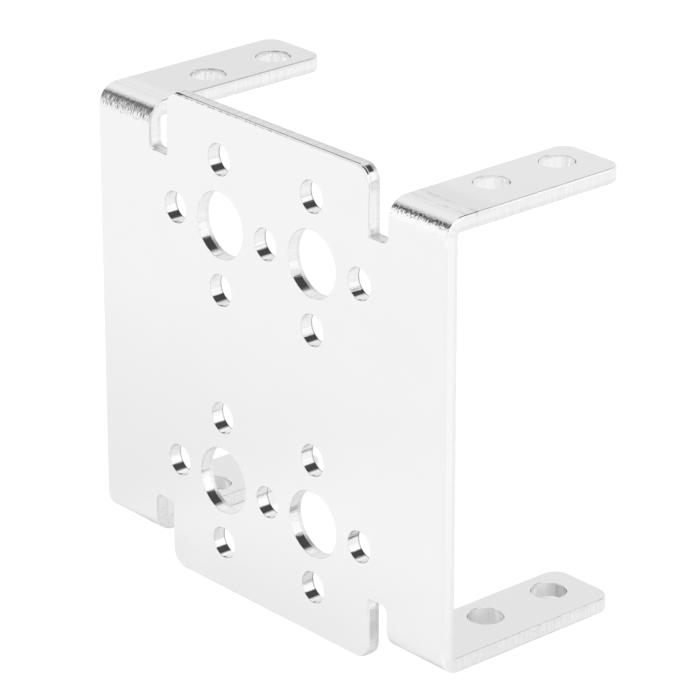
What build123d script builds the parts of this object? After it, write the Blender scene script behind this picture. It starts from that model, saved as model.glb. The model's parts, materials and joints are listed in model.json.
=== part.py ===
from build123d import *
import os

# Motor mounting bracket: one sheet of metal, cut to its outline with all its holes, its outline's
# edges taken off, and folded four times.
# Frame: origin at the middle of the plate's front face, X across the plate, Z up it, and +Y back along
# the arms. The front face lies in the plane Y = 0. Sizes are in millimetres.

# ---- sheet and folds ----
sheet = 1.8              # thickness of the sheet
fold_outer = 2.6         # outer radius of the folds
fold_inner = 0.4         # inner radius: pressed tight, so the sheet is a little thinner through the fold
outer_rounding = 0.3     # radius of the outline's edges on the outer side
inner_bevel = 0.2        # width of the bevel on its edges on the inner side

# ---- front plate ----
plate_width = 60.0       # across the plate, and over the outer edges of the arms
tongue_reach = 2.65      # from the arms' outer faces to the tongues' edges
tongue_corner = 2.0      # radius of the tongues' corners

# ---- arms ----
arm_span = 54.7          # over the outer faces of the upper and the lower arms
arm_width = 9.4
arm_depth = 26.8         # from the front face to the ends of the arms
arm_corner = 2.0         # radius of the corners at the arms' ends

# ---- relief notches between the arms and the tongues ----
notch_width = 3.1
notch_relief = 2.75      # how far the notches run past the folds into the plate
notch_arm_corner = 0.8   # radius of their floors' corners beside the arms
notch_tongue_corner = 0.2   # and beside the tongues

# ---- motor holes: centre holes, each with four screw holes round it, on a square grid ----
hole_pitch = 8.0         # from a centre hole to each of its screw holes
row_spacing = 32.0       # from the upper to the lower pair of centre holes
centre_hole = 8.1        # diameter
screw_hole = 3.8         # diameter

# ---- holes in the arms ----
arm_hole = 4.2           # diameter
arm_hole_spacing = 10.0  # from one hole of an arm to the other
arm_hole_end = 4.8       # from the arm's end to its nearest hole
arm_hole_side = 5.7      # from the arm's outer edge to its holes

# ---- worked out from the sizes above ----
plate_height = arm_span + 2 * tongue_reach
tongue_width = plate_width - 2 * (arm_width + notch_width)
arm_top = arm_span / 2
arm_inner = plate_width / 2 - arm_width     # from the middle to the inner edges of the arms
fold_start = arm_top - fold_outer           # height where the flat front face ends and a fold begins
notch_floor = fold_start - notch_relief     # height of the notches' floors
notch_spacing = tongue_width + notch_width
column_spacing = 2 * hole_pitch             # neighbouring centre holes share the screw hole between them
arm_hole_x = plate_width / 2 - arm_hole_side
far_hole_y = arm_depth - arm_hole_end
near_hole_y = far_hole_y - arm_hole_spacing


with BuildPart() as arms:
    # One arm and its fold, drawn from the side and extruded across the arm's width.
    with BuildSketch(Plane.YZ.offset(plate_width / 2)):
        with BuildLine():
            outside = CenterArc((fold_outer, fold_start), fold_outer, 90, 90)
            inner_centre = (sheet + fold_inner, arm_top - sheet - fold_inner)
            inside = CenterArc(inner_centre, fold_inner, 90, 90)
            Polyline(outside @ 0, (arm_depth, arm_top), (arm_depth, arm_top - sheet), inside @ 0)
            Polyline(inside @ 1, (sheet, fold_start), outside @ 1)
        make_face()
    extrude(amount=-arm_width)
    end_corners = arms.edges().filter_by(Axis.Z).group_by(Axis.Y)[-1]
    fillet(end_corners, arm_corner)
    with BuildSketch(Plane.XY.offset(arm_top)):
        with Locations((arm_hole_x, near_hole_y), (arm_hole_x, far_hole_y)):
            Circle(arm_hole / 2)
    extrude(amount=-sheet, mode=Mode.SUBTRACT)
    # The other three arms.
    mirror(about=Plane.YZ)
    mirror(about=Plane.XY)

with BuildPart() as bracket:
    # The flat plate between the folds, with a tongue that runs past it at the top and at the bottom.
    with BuildSketch(Plane.XZ) as outline:
        Rectangle(tongue_width, plate_height)
        fillet(outline.vertices(), tongue_corner)
        Rectangle(plate_width, 2 * fold_start)
        with GridLocations(notch_spacing, 2 * fold_start, 2, 2):
            Rectangle(notch_width, 2 * notch_relief, mode=Mode.SUBTRACT)
        for side, radius in ((arm_inner, notch_arm_corner), (tongue_width / 2, notch_tongue_corner)):
            floor_corners = outline.vertices().filter_by_position(Axis.Y, -notch_floor, notch_floor)
            fillet(floor_corners.filter_by(lambda corner: abs(abs(corner.X) - side) < 0.01), radius)
    extrude(amount=-sheet)
    # Centre holes with their screw holes.
    with BuildSketch(Plane.XZ):
        with GridLocations(column_spacing, row_spacing, 2, 2):
            Circle(centre_hole / 2)
            with PolarLocations(hole_pitch, 4):
                Circle(screw_hole / 2)
    extrude(amount=-sheet, mode=Mode.SUBTRACT)
    add(arms.part)

    # Edges of the outline, all round. They run on from the plate's face along the folds and the arms, so
    # the seams where the flat plate turns into a fold stay out. The outer side is rounded, the inner side
    # only bevelled.
    side_edges = []
    for face in bracket.faces().filter_by(Axis.Y).sort_by(SortBy.AREA)[-2:].sort_by(Axis.Y):
        outline_edges = face.outer_wire().edges()
        seams = outline_edges.filter_by(Axis.X).filter_by(lambda edge: abs(edge.center().X) > arm_inner)
        side_edges.append([edge for edge in outline_edges if edge not in seams])
    outer_edges, inner_edges = side_edges
    chamfer(inner_edges, inner_bevel)
    fillet(outer_edges, outer_rounding)

bracket.part.label = "bracket"
os.makedirs("parts", exist_ok=True)
export_step(bracket.part, "parts/bracket.step")
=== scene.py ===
import json
import math

import bmesh
import bpy
from mathutils import Matrix, Vector


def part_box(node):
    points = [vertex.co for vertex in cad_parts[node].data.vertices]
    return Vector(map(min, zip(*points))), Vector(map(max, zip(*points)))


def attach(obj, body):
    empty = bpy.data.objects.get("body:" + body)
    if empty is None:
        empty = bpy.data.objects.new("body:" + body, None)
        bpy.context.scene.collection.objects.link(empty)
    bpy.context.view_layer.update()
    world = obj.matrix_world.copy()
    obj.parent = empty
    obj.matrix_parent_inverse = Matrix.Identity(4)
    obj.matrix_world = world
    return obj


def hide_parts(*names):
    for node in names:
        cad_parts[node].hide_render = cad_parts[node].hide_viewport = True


# The bracket is one sheet of plated metal. It is modelled as it is made: the flat blank is cut to its
# outline with all its holes, its cut edges are shaped, and then its four arms are folded back.
# The shape is modelled in millimetres and turned to metres at the end.

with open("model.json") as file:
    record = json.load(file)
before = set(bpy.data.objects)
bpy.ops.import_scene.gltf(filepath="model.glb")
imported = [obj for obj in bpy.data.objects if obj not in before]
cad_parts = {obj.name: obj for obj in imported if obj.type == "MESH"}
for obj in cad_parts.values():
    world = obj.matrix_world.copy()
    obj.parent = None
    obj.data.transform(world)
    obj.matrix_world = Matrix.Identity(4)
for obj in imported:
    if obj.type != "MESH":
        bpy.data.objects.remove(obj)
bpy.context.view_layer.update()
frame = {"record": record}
MM = 0.001
low, high = (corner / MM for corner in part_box("bracket"))
mounts = {mount["name"]: mount for mount in frame["record"]["mounts"]}

# ---------------------------------------------------------------- sizes, in millimetres

# The overall sizes and the holes' places come from the CAD part.
SHEET = 1.8
ARM_WIDTH = 9.4
NOTCH_WIDTH = 3.1
NOTCH_RELIEF = 2.75             # how far the notches run past the folds into the plate
HALF_WIDTH = (high.x - low.x) / 2
TONGUE_TOP = high.z
ARM_DEPTH = high.y
ARM_TOP = mounts["upper_arm_face"]["pos_m"][2] / MM
ARM_INNER = HALF_WIDTH - ARM_WIDTH
TONGUE_HALF = ARM_INNER - NOTCH_WIDTH
FOLD_OUTER = 2.6
FOLD_INNER = 0.4
FOLD_START = ARM_TOP - FOLD_OUTER
NOTCH_FLOOR = FOLD_START - NOTCH_RELIEF
FOLD_SLICES = 16
FOLD_RUN = 2.7                  # length of sheet that each fold takes, on the flat blank
ARM_TIP = FOLD_START + FOLD_RUN + ARM_DEPTH - FOLD_OUTER
TONGUE_CORNER = 2.0
OUTLINE = (                     # one quarter of the blank: x, z and radius of its corners
    (HALF_WIDTH, ARM_TIP, 2.0),
    (ARM_INNER, ARM_TIP, 2.0),
    (ARM_INNER, NOTCH_FLOOR, 0.8),
    (TONGUE_HALF, NOTCH_FLOOR, 0.2),
    (TONGUE_HALF, TONGUE_TOP, TONGUE_CORNER),
)

# The punch draws the outer side's edges over, cuts a smooth band and then tears the rest of the sheet.
ROLL_OVER_WIDTH = 0.18
ROLL_OVER_DEPTH = 0.3
HOLE_ROUNDING = 0.05
SHOULDER = 0.06                 # small step between the drawn edge and the smooth band
TORN_DEPTH = 0.55               # height of the torn band, at the inner side
OUTER_STEPS = (0, 0.06, 0.072, 0.1, 0.14, 0.19, 0.24)      # distances in from the cuts, outer side
INNER_STEPS = (0, 0.05, 0.075, 0.12)                       # and inner side
TORN_HEIGHTS = (TORN_DEPTH, 0.07, 0.025, 0)     # how far each of the inner side's steps lies from its face
CLEAN_HEIGHTS = (0.12, 0.05, 0.02, 0)           # the same for the small holes, which are cut clean through
SMALL_HOLE = 3.0                # holes of a smaller radius than this are small
PRESS_MARKS = ((0.45, 0.012), (1.95, 0.008))    # distance past the fold, and depth, of the tool's marks
PRESS_MARK_WIDTH = 0.5

# Bands of faces that are shaded apart from each other.
PLAIN_BAND, SHOULDER_BAND, TORN_BAND, FRONT_SLOPE, BACK_SLOPE = range(5)


# ---------------------------------------------------------------- modelling

def hole_places():
    """(x, distance along the sheet from its middle, radius) of every round hole in the flat blank."""
    holes = {}
    for mount in mounts.values():
        dims = mount["dims"]
        x, y, z = (value / MM for value in mount["pos_m"])
        if mount["kind"] == "bore":
            holes[round(x, 2), round(z, 2)] = dims["r_mm"]
        elif "pcd_mm" in dims:
            reach = dims["pcd_mm"] / 2
            for over, up in ((reach, 0), (-reach, 0), (0, reach), (0, -reach)):
                holes[round(x + over, 2), round(z + up, 2)] = dims["hole_r_mm"]
        elif "spacing_x_mm" in dims:
            side = math.copysign(1, z)
            for across in (1, -1):
                for along in (1, -1):
                    back = y + along * dims["spacing_y_mm"] / 2
                    flat = FOLD_START + FOLD_RUN + back - FOLD_OUTER
                    holes[across * dims["spacing_x_mm"] / 2, side * flat] = dims["hole_r_mm"]
    return [(x, z, radius) for (x, z), radius in holes.items()]


def flat_blank(holes):
    """The sheet before it is folded: outer side at Y = 0, inner side at Y = SHEET."""
    bm = bmesh.new()
    outline = []
    for across, up in ((1, 1), (-1, 1), (-1, -1), (1, -1)):
        corners = OUTLINE if across == up else OUTLINE[::-1]
        outline += [bm.verts.new((across * x, 0, up * z)) for x, z, radius in corners]
    bm.faces.new(outline)
    for x, z, radius in OUTLINE:
        corners = [vert for vert in bm.verts
                   if abs(abs(vert.co.x) - x) < 0.01 and abs(abs(vert.co.z) - z) < 0.01]
        bmesh.ops.bevel(bm, geom=corners, offset=radius, offset_type="OFFSET", affect="VERTICES",
                        segments=14 if radius > 1 else 8, profile=0.5, material=-1, clamp_overlap=False)
    bmesh.ops.delete(bm, geom=bm.faces[:], context="FACES_ONLY")
    facing_front = Matrix.Rotation(math.radians(90), 4, "X")
    for x, z, radius in holes:
        bmesh.ops.create_circle(bm, cap_ends=False, radius=radius, segments=72 if radius > 3 else 56,
                                matrix=Matrix.Translation((x, 0, z)) @ facing_front)
    bmesh.ops.triangle_fill(bm, use_beauty=True, use_dissolve=False, edges=bm.edges[:], normal=(0, -1, 0))
    grown = bmesh.ops.extrude_face_region(bm, geom=bm.faces[:])["geom"]
    inner_side = [item for item in grown if isinstance(item, bmesh.types.BMVert)]
    bmesh.ops.translate(bm, verts=inner_side, vec=(0, SHEET, 0))
    bmesh.ops.recalc_face_normals(bm, faces=bm.faces[:])
    bm.faces.layers.int.new("band")
    return bm


def hole_at(point, holes):
    """Radius of the hole whose rim this point belongs to, or nothing."""
    for x, z, radius in holes:
        if math.hypot(point.x - x, point.z - z) < radius + 0.3:
            return radius


def outer_depth(inset, point, holes):
    """How far the outer side is drawn down, this far in from a cut."""
    if hole_at(point, holes):
        width, depth, shoulder = HOLE_ROUNDING, HOLE_ROUNDING, 0
    else:
        width, depth = ROLL_OVER_WIDTH, ROLL_OVER_DEPTH
        on_tongue = abs(point.x) < TONGUE_HALF + 0.01 and abs(point.z) > NOTCH_FLOOR + 0.3
        shoulder = SHOULDER if on_tongue else 0
        # Round the tongues' corners the sheet is drawn down further.
        over = abs(point.x) - TONGUE_HALF + TONGUE_CORNER
        up = abs(point.z) - TONGUE_TOP + TONGUE_CORNER
        if over > 0 and up > 0 and abs(point.x) < TONGUE_HALF + 0.01:
            depth *= 1 + 0.6 * math.sin(2 * math.atan2(up, over))
    run = min(max(inset - shoulder, 0) / width, 1)
    return depth * (1 - math.sqrt(1 - (1 - run) ** 2)) + max(shoulder - inset, 0)


def inner_depth(inset, point, holes):
    """How far the inner side is cut back, this far in from a cut. The torn band leans in, and its edge is
    only just broken. The small holes are cut clean through."""
    clean = (hole_at(point, holes) or HALF_WIDTH) < SMALL_HOLE
    return (CLEAN_HEIGHTS if clean else TORN_HEIGHTS)[INNER_STEPS.index(inset)]


def shape_cut_edges(bm, side, steps, depth_at, holes):
    """Shapes all the edges of the outer (-1) or inner (1) side with strips that follow the cuts."""
    band = bm.faces.layers.int["band"]
    faces = [face for face in bm.faces if face.normal.y * side > 0.5]
    rings = []
    for start, end in zip(steps, steps[1:]):
        strip = bmesh.ops.inset_region(bm, faces=faces, thickness=end - start, use_even_offset=True,
                                       use_boundary=True)
        inside = {vert for face in faces for vert in face.verts}
        rings.append({vert for face in strip["faces"] for vert in face.verts if vert not in inside})
        for face in strip["faces"]:
            radius = hole_at(face.verts[0].co, holes) or HALF_WIDTH
            if start == 0 and side < 0 and radius == HALF_WIDTH:
                face[band] = SHOULDER_BAND
            if start == 0 and side > 0 and radius > SMALL_HOLE:
                face[band] = TORN_BAND
    for inset, ring in zip(steps, rings):
        for vert in ring:
            vert.co.y -= side * depth_at(inset, vert.co, holes)


def cut_across_arms(bm, height):
    """Cuts all four arms of the blank across, at this distance from the middle of the sheet."""
    for side in (1, -1):
        faces = [face for face in bm.faces
                 if any(abs(v.co.x) > ARM_INNER - 0.01 and side * v.co.z > FOLD_START for v in face.verts)]
        edges = dict.fromkeys(edge for face in faces for edge in face.edges)
        verts = dict.fromkeys(vert for face in faces for vert in face.verts)
        bmesh.ops.bisect_plane(bm, geom=[*verts, *edges, *faces], dist=1e-5,
                               plane_co=(0, 0, side * height), plane_no=(0, 0, side))


def press_marks(bm):
    """Shallow marks that the folding tool presses across the outer side of each arm."""
    band = bm.faces.layers.int["band"]
    for past_fold, depth in PRESS_MARKS:
        middle = FOLD_START + FOLD_RUN + past_fold
        for height in (middle - PRESS_MARK_WIDTH / 2, middle, middle + PRESS_MARK_WIDTH / 2):
            cut_across_arms(bm, height)
        for vert in bm.verts:
            if abs(abs(vert.co.z) - middle) < 1e-4 and vert.co.y < 1e-4 and abs(vert.co.x) > ARM_INNER:
                vert.co.y += depth
        for face in bm.faces:
            place = abs(face.calc_center_median().z) - middle
            on_arm = face.normal.y < -0.9 and abs(face.verts[0].co.x) > ARM_INNER
            if on_arm and abs(place) < PRESS_MARK_WIDTH / 2:
                face[band] = FRONT_SLOPE if place < 0 else BACK_SLOPE


def keep_blank_places(bm, holes):
    """Keeps each point's place on the blank, which the metal's grain follows, and which cuts are torn."""
    blank = bm.verts.layers.float_vector.new("blank")
    torn = bm.verts.layers.float.new("torn")
    for vert in bm.verts:
        vert[blank] = vert.co
        vert[torn] = 0 if (hole_at(vert.co, holes) or HALF_WIDTH) < SMALL_HOLE else 1


def corner_normals(bm):
    """Shading of each corner on the flat blank. Large faces lead, and bands don't blend into each other."""
    band = bm.faces.layers.int["band"]
    bm.faces.index_update()
    bm.normal_update()
    pull = [face.normal * face.calc_area() ** 2 for face in bm.faces]
    normals = []
    for face in bm.faces:
        for corner in face.loops:
            same = [pull[other.index] for other in corner.vert.link_faces if other[band] == face[band]]
            normals.append(sum(same, Vector()).normalized())
    return normals


def fold_arms(bm, normals):
    """Turns the four arms back by a right angle. The inner side is pressed tighter than the outer side."""
    outer_centre = Vector((0, FOLD_OUTER, FOLD_START))
    inner_centre = Vector((0, SHEET + FOLD_INNER, ARM_TOP - SHEET - FOLD_INNER))
    turns = {}
    for vert in bm.verts:
        side = math.copysign(1, vert.co.z)
        run = abs(vert.co.z) - FOLD_START
        if abs(vert.co.x) < ARM_INNER - 0.01 or run < -1e-4:
            continue
        depth = vert.co.y / SHEET
        angle = math.radians(90) * min(max(run, 0) / FOLD_RUN, 1)
        if run > FOLD_RUN + 1e-4:
            place = Vector((0, FOLD_OUTER + run - FOLD_RUN, ARM_TOP - vert.co.y))
        else:
            outward = Vector((0, -math.cos(angle), math.sin(angle)))
            radius = FOLD_OUTER + (FOLD_INNER - FOLD_OUTER) * depth
            place = outer_centre.lerp(inner_centre, depth) + outward * radius
        vert.co.y = place.y
        vert.co.z = side * place.z
        turns[vert] = Matrix.Rotation(-side * angle, 3, "X")
    corners = (corner for face in bm.faces for corner in face.loops)
    return [turns[corner.vert] @ normal if corner.vert in turns else normal
            for corner, normal in zip(corners, normals)]


def finish_piece(bm, normals, name):
    """Makes the object: in metres, shaded smooth, with the body it rides on."""
    bmesh.ops.scale(bm, vec=(MM, MM, MM), verts=bm.verts[:])
    mesh = bpy.data.meshes.new(name)
    bm.to_mesh(mesh)
    bm.free()
    mesh.shade_smooth()
    mesh.normals_split_custom_set(normals)
    piece = bpy.data.objects.new(name, mesh)
    bpy.context.scene.collection.objects.link(piece)
    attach(piece, "root")
    return piece


holes = hole_places()
bm = flat_blank(holes)
shape_cut_edges(bm, -1, OUTER_STEPS, outer_depth, holes)
shape_cut_edges(bm, 1, INNER_STEPS, inner_depth, holes)
for step in range(FOLD_SLICES + 1):
    cut_across_arms(bm, FOLD_START + FOLD_RUN * step / FOLD_SLICES)
press_marks(bm)
keep_blank_places(bm, holes)
normals = fold_arms(bm, corner_normals(bm))
bracket = finish_piece(bm, normals, "folded_sheet")
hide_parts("bracket")


# ---------------------------------------------------------------- finishes

class Value:
    """A number that changes over the surface, so that sums can be written as sums."""

    def __init__(self, graph, socket):
        self.graph = graph
        self.socket = socket

    def _sum(self, operation, *values):
        return self.graph.node("ShaderNodeMath", {"operation": operation}, *values)

    def __add__(self, other):
        return self._sum("ADD", self, other)

    def __radd__(self, other):
        return self._sum("ADD", other, self)

    def __sub__(self, other):
        return self._sum("SUBTRACT", self, other)

    def __rsub__(self, other):
        return self._sum("SUBTRACT", other, self)

    def __mul__(self, other):
        return self._sum("MULTIPLY", self, other)

    def __rmul__(self, other):
        return self._sum("MULTIPLY", other, self)

    def __abs__(self):
        return self._sum("ABSOLUTE", self)

    def larger(self, other):
        return self._sum("MAXIMUM", self, other)

    def between(self, start, end, low=0.0, high=1.0):
        """Runs smoothly from low to high as this value goes from start to end."""
        settings = {"interpolation_type": "SMOOTHSTEP"}
        return self.graph.node("ShaderNodeMapRange", settings, self, start, end, low, high)


class Graph:
    """The nodes of one material or of the world."""

    def __init__(self, owner):
        owner.use_nodes = True
        self.tree = owner.node_tree

    def node(self, kind, settings=None, *values, out=0, **named):
        """Adds a node: its settings first, then its sockets in order or by name. Gives one output."""
        made = self.tree.nodes.new(kind)
        for name, setting in (settings or {}).items():
            setattr(made, name, setting)
        for place, value in enumerate(values):
            self.feed(made.inputs[place], value)
        for name, value in named.items():
            self.feed(made.inputs[name.replace("_", " ")], value)
        return Value(self, made.outputs[out])

    def feed(self, socket, value):
        if isinstance(value, Value):
            self.tree.links.new(value.socket, socket)
        else:
            socket.default_value = value

    def split(self, vector):
        """The x, y and z of a vector."""
        parts = self.tree.nodes.new("ShaderNodeSeparateXYZ")
        self.feed(parts.inputs[0], vector)
        return [Value(self, part) for part in parts.outputs]

    def grey(self, value):
        return self.node("ShaderNodeCombineColor", None, value, value, value)

    def noise(self, x, y, z, detail=3.0, roughness=0.55):
        """Noise at a place given by three numbers."""
        place = self.node("ShaderNodeCombineXYZ", None, x, y, z)
        return self.node("ShaderNodeTexNoise", None, Vector=place, Scale=1.0, Detail=detail,
                         Roughness=roughness)


class Blank:
    """Where each point of the metal lies on the flat blank, and the zones that the finishes share."""

    def __init__(self, graph):
        place = graph.node("ShaderNodeAttribute", {"attribute_name": "blank"}, out=1)
        self.x, self.depth, self.z = graph.split(place)
        self.rough_cut = graph.node("ShaderNodeAttribute", {"attribute_name": "torn"}, out=2)
        self.along, self.across = abs(self.z), abs(self.x)
        self.left = self.x.between(-1.0, 1.0, 1, 0)
        self.upper = self.z.between(0, 1)
        # The outer side of the arms, and how far a fold is turned: 0 where it begins, 1 where it ends.
        self.arm = self.across.between(ARM_INNER - 0.2, ARM_INNER) * self.depth.between(0.3, 0.5, 1, 0)
        self.turned = (self.along - FOLD_START) * (1 / FOLD_RUN)
        self.past_fold = self.along - FOLD_START - FOLD_RUN
        # The cut edges, and the streaks that the punch left across them.
        self.cut = self.depth.between(0.2, 0.4) * self.depth.between(SHEET - 0.06, SHEET - 0.02, 1, 0)
        self.streaks = graph.noise(self.x * 4.0, self.depth * 0.3, self.z * 4.0, detail=4.0, roughness=0.6)


def stretched_folds(graph, at):
    """The folds stretched the plating into hairs, fine on the left and coarse on the right, and on the
    upper folds a dark reflection is painted along the hairs. Gives the painted reflection, the roughness
    and the height."""
    fold = at.arm * at.turned.between(0.0, 0.06) * at.turned.between(0.75, 0.9, 1, 0)
    fine = graph.noise(at.x * 11.0, at.depth, at.z * 2.0, detail=4.0, roughness=0.65)
    coarse = graph.noise(at.x * 5.0, at.depth, at.z * 4.0, detail=5.0, roughness=0.7)
    hairs = fine * at.left + coarse * (1 - at.left)
    # The painted dark reflection lies round the middle of a fold. On the left it reaches lower.
    above = (at.turned - 0.5) * (1.8 + 1.2 * at.left)
    below = (0.46 - 0.06 * at.left - at.turned) * (0.9 - 0.43 * at.left)
    painted_fold_reflection = (hairs - above.larger(below)).between(0.41 - 0.03 * at.left, 0.51 - 0.03 * at.left)
    painted_fold_reflection = painted_fold_reflection * fold * at.upper * at.depth.between(0.02, 0.08, 1, 0) * (1 - 0.1 * at.left)
    return 0.88 * painted_fold_reflection, 0.05 * fold, (hairs - 0.5) * fold * (0.035 - 0.015 * at.left)


def upper_arms(graph, at):
    """How much darker the upper arms are. The folding tool leaves faint, broken lines across them. Painted
    shade darkens the left one all over, and the right one mostly just past its fold."""
    lines = sum((abs(at.past_fold - place).between(0.1, 0.45, 1, 0) for place, sunk in PRESS_MARKS), 0.0)
    patchy = graph.noise(at.x * 0.7, at.depth, at.z * 0.7, detail=2.0)
    lines = lines * (1 - 0.85 * at.left) * patchy.between(0.4, 0.6)
    near_fold = abs(at.past_fold - 3.0).between(0.5, 3.0, 1, 0)
    # Painted shade: the left arm all over, the right one mostly just past its fold.
    painted_arm_shade = 0.065 * at.left * at.past_fold.between(1.0, 3.0)
    painted_arm_shade = painted_arm_shade + (1 - at.left) * at.past_fold.between(0.0, 0.5) * (0.018 + 0.053 * near_fold)
    return (0.12 * lines + painted_arm_shade) * at.arm * at.upper


def drawn_edges(at):
    """The drawn edges of the arms: matt on the left, with a painted highlight where they pass the right
    folds.
    Gives the painted highlight, and their roughness."""
    drawn = at.depth.between(0.0, 0.03) * at.depth.between(0.3, 0.4, 1, 0) * at.arm
    # Painted highlight on the drawn edges where they pass the right folds.
    painted_fold_highlight = drawn * (1 - at.left) * at.turned.between(-0.3, 0.0) * at.turned.between(1.0, 0.7)
    return 0.07 * painted_fold_highlight, 0.3 * drawn * at.left


def cut_edges(graph, at):
    """All cuts are streaked, apart from the smooth sides of the plate. Near the inner side they are torn,
    apart from the small holes. Gives how much brighter they are, painted light on some cuts included, their
    roughness and their height."""
    plate_side = at.across.between(HALF_WIDTH - 0.5, HALF_WIDTH - 0.4)
    plate_side = plate_side * at.along.between(FOLD_START + 1.0, FOLD_START)
    streaked = (at.streaks - 0.5) * at.cut * (1 - plate_side)
    torn = at.depth.between(SHEET - TORN_DEPTH - 0.06, SHEET - TORN_DEPTH + 0.02)
    torn = torn * at.cut * at.rough_cut
    # The inner edges are broken, and rougher towards the ends of the arms.
    inner_edge = at.depth.between(SHEET - 0.12, SHEET - 0.08) * at.depth.between(SHEET - 0.03, SHEET, 1, 0)
    inner_edge = inner_edge * at.rough_cut * at.past_fold.between(8, 14, 0.3, 0.7)
    # The floors of the notches are torn all through.
    notch = abs(at.across - (TONGUE_HALF + ARM_INNER) / 2).between(1.5, 1.65, 1, 0)
    notch = notch * at.along.between(NOTCH_FLOOR - 0.3, NOTCH_FLOOR - 0.1)
    notch = notch * at.along.between(NOTCH_FLOOR + 0.6, NOTCH_FLOOR + 1.0, 1, 0) * at.cut
    # The small holes of the plate end in a dark burr.
    burr = at.depth.between(SHEET - 0.3, SHEET - 0.2) * at.along.between(FOLD_START, FOLD_START + 1, 1, 0)
    burr = burr * at.cut * (1 - at.rough_cut)
    # Painted light brightens the plate's sides, the lower left cuts and the floor of the upper left notch.
    brighter = 0.25 * streaked - 0.04 * torn - 0.45 * burr + 0.07 * notch * at.left * at.upper
    brighter = brighter + at.cut * (0.045 * plate_side + 0.06 * at.left * (1 - at.upper))
    return brighter, 0.3 * torn + inner_edge + 0.4 * notch - 0.01 * at.cut, 0.015 * streaked


def tongue_ends(graph, at):
    """The tongues' ends are dark, with a broken seam along their drawn edge that starts in a dent. Gives
    how much darker they are, and their roughness."""
    tongue_end = at.along.between(TONGUE_TOP - 0.5, TONGUE_TOP - 0.25)
    tip = at.cut * tongue_end * at.across.between(TONGUE_HALF - 1.6, TONGUE_HALF - 1.0, 1, 0)
    seam = at.depth.between(0.26, 0.3) * at.depth.between(0.35, 0.39, 1, 0)
    seam = seam * at.across.between(TONGUE_HALF - 1.2, TONGUE_HALF - 1.6)
    dent = at.depth.between(0.12, 0.18) * at.depth.between(0.4, 0.45, 1, 0)
    dent = dent * at.x.between(-16.2, -15.8) * at.x.between(-12.5, -15.5)
    broken = graph.noise(at.x * 5.0, 0.0, 0.0).between(0.35, 0.6).larger(at.x.between(-14, -15))
    seam = seam.larger(dent) * tongue_end * broken * at.x.between(-8, -15, 0.4, 0.85)
    # The drawn edge itself is dull, with dark dashes on the left.
    lip = tongue_end * at.depth.between(0.0, 0.02) * at.depth.between(0.1, 0.16, 1, 0)
    dashes = lip * graph.noise(at.x * 1.5, 0.0, 0.0).between(0.47, 0.53) * at.x.between(7, 0)
    return tip * (0.12 + (at.streaks - 0.5) * 0.9) + seam + 0.35 * dashes, 0.4 * lip


def bright_plate():
    """Bright plating on steel, a little cloudy, with the finishes of its folds, arms and edges, and painted
    shade, highlights and reflections on some of them.
    """
    material = bpy.data.materials.new("bright_plate")
    graph = Graph(material)
    at = Blank(graph)
    painted_fold_reflection, fold_roughness, fold_height = stretched_folds(graph, at)
    drawn_painted_highlight, drawn_roughness = drawn_edges(at)
    cut_tone_and_painted_light, cut_roughness, cut_height = cut_edges(graph, at)
    tongue_dark, tongue_roughness = tongue_ends(graph, at)
    clouds = graph.noise(at.x * 0.12, at.depth, at.z * 0.12, detail=2.0)
    # The colour carries painted shade, highlights and reflections as well as the plating's own tones.
    colour = 0.93 + (clouds - 0.5) * 0.02 + drawn_painted_highlight + cut_tone_and_painted_light - tongue_dark - upper_arms(graph, at)
    rough = 0.07 + fold_roughness + drawn_roughness + cut_roughness + tongue_roughness
    bump = graph.node("ShaderNodeBump", None, Strength=1.0, Distance=MM, Height=fold_height + cut_height)
    shader = graph.tree.nodes["Principled BSDF"]
    shader.inputs["Metallic"].default_value = 1
    # The painted dark reflection of the upper folds darkens the colour.
    graph.feed(shader.inputs["Base Color"], graph.grey(colour * (1 - painted_fold_reflection)))
    graph.feed(shader.inputs["Roughness"], rough)
    graph.feed(shader.inputs["Normal"], bump)
    return material


bracket.data.materials.append(bright_plate())


# ---------------------------------------------------------------- studio

def studio_light():
    """Pale walls all round, a dark ceiling, and soft lamps high on the left and over the right."""
    world = bpy.data.worlds.new("studio")
    bpy.context.scene.world = world
    graph = Graph(world)
    x, y, z = graph.split(graph.node("ShaderNodeTexCoord", out=0))
    left_lamp = x.between(-0.08, -0.38) * y.between(-0.36, -0.06, 0.1, 1)
    right_lamp = x.between(-0.45, -0.2) * y.between(0.45, 0.15)
    ceiling = z.between(0.55, 0.64) * (1 - left_lamp) * (1 - right_lamp)
    far_wall = x.between(-0.3, -0.6) * y.between(-0.1, 0.3) * z.between(0.75, 0.2)
    near_wall = x.between(-0.5, 0.0) * y.between(-0.2, -0.55)
    walls = 1.03 - 0.19 * far_wall - 0.2 * near_wall
    light = walls * (1 - 0.94 * ceiling)
    light = light - 0.12 * left_lamp * z.between(0.3, 0.5) - 0.13 * right_lamp * z.between(0.9, 0.97)
    background = graph.tree.nodes["Background"]
    graph.feed(background.inputs["Color"], graph.grey(light))
    # A large lamp overhead lights the floor. It is not seen in the metal.
    overhead = bpy.data.lights.new("overhead_lamp", "AREA")
    overhead.size = 1.5
    overhead.energy = 7.0
    lamp = bpy.data.objects.new("overhead_lamp", overhead)
    lamp.location = (-0.3, -0.4, 1.4)
    lamp.rotation_euler = (-lamp.location).to_track_quat("-Z", "Y").to_euler()
    lamp.visible_glossy = False
    lamp.visible_camera = False
    bpy.context.scene.collection.objects.link(lamp)


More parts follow.
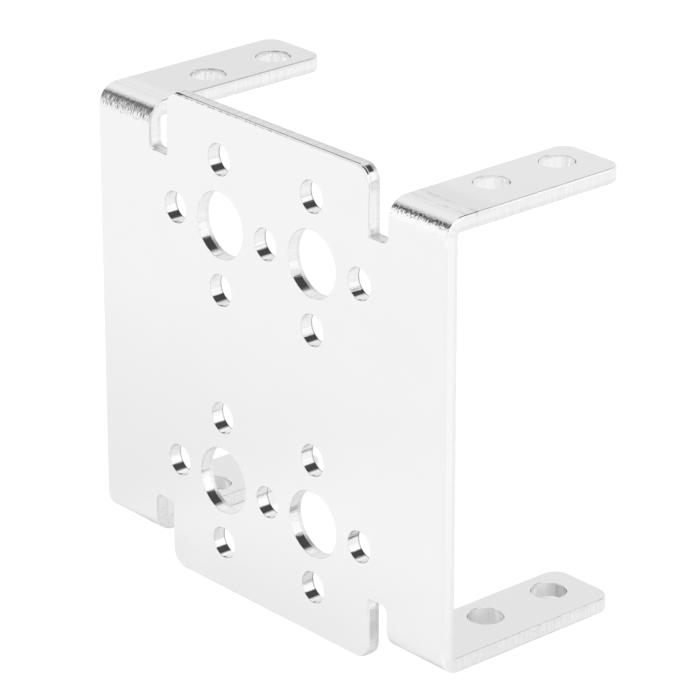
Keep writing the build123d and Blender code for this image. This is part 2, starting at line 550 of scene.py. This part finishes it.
def white_floor():
    """White paper under the bracket: bright to the camera, while the metal mirrors it with its shadows."""
    bpy.ops.mesh.primitive_plane_add(size=6, location=(0, 0, low.z * MM))
    floor = bpy.context.object
    floor.name = "floor"
    paper = bpy.data.materials.new("white_paper")
    graph = Graph(paper)
    shader = graph.tree.nodes["Principled BSDF"]
    shader.inputs["Roughness"].default_value = 0.9
    shader.inputs["Specular IOR Level"].default_value = 0.1
    # Under the lower arms, and beside the right one, where little light comes, a painted shadow keeps the
    # paper grey and dims its glow.
    x, y, z = (place * (1 / MM) for place in graph.split(graph.node("ShaderNodeTexCoord", out=3)))
    left = 0.4 * x.between(-HALF_WIDTH, -27) * x.between(-ARM_INNER, -23)
    right = x.between(13, 17) * x.between(25, 22)
    under = (left + right) * y.between(9, 13) * y.between(ARM_DEPTH + 3, ARM_DEPTH - 1)
    seen, mirrored, through = (graph.node("ShaderNodeLightPath", out=ray) for ray in (0, 3, 6))
    # To the left of the bracket a painted shade makes the paper a little greyer too, and less so towards
    # the front.
    shade = x.between(-12, -45) * y.between(-60, -10)
    graph.feed(shader.inputs["Base Color"], graph.grey(0.93 - 0.4 * under - 0.1 * shade))
    glow = graph.node("ShaderNodeEmission", None, (1, 1, 1, 1), 1.08)
    mixed = graph.node("ShaderNodeMixShader", None, (seen + through) * (0.9 - 0.6 * under) + mirrored * 0.2)
    mixer = mixed.socket.node
    graph.tree.links.new(shader.outputs[0], mixer.inputs[1])
    graph.tree.links.new(glow.socket, mixer.inputs[2])
    graph.tree.links.new(mixed.socket, graph.tree.nodes["Material Output"].inputs["Surface"])
    floor.data.materials.append(paper)


def studio_camera():
    """A long lens, looking from the front right and from above."""
    azimuth, elevation, distance = math.radians(48.520), math.radians(22.276), 448.934 * MM
    target = Vector((15.247, 0, 11.752)) * MM
    level = math.cos(elevation)
    back = Vector((math.sin(azimuth) * level, -math.cos(azimuth) * level, math.sin(elevation)))
    lens = bpy.data.cameras.new("camera")
    lens.sensor_width = 36
    lens.lens = 208.752
    lens.shift_x = -0.0064223
    lens.shift_y = -0.04589
    lens.clip_start = 0.01
    lens.clip_end = 20
    camera = bpy.data.objects.new("camera", lens)
    camera.location = target + back * distance
    camera.rotation_euler = (-back).to_track_quat("-Z", "Y").to_euler()
    bpy.context.scene.collection.objects.link(camera)
    bpy.context.scene.camera = camera
    bpy.context.scene.view_settings.view_transform = "Standard"


studio_light()
white_floor()
studio_camera()
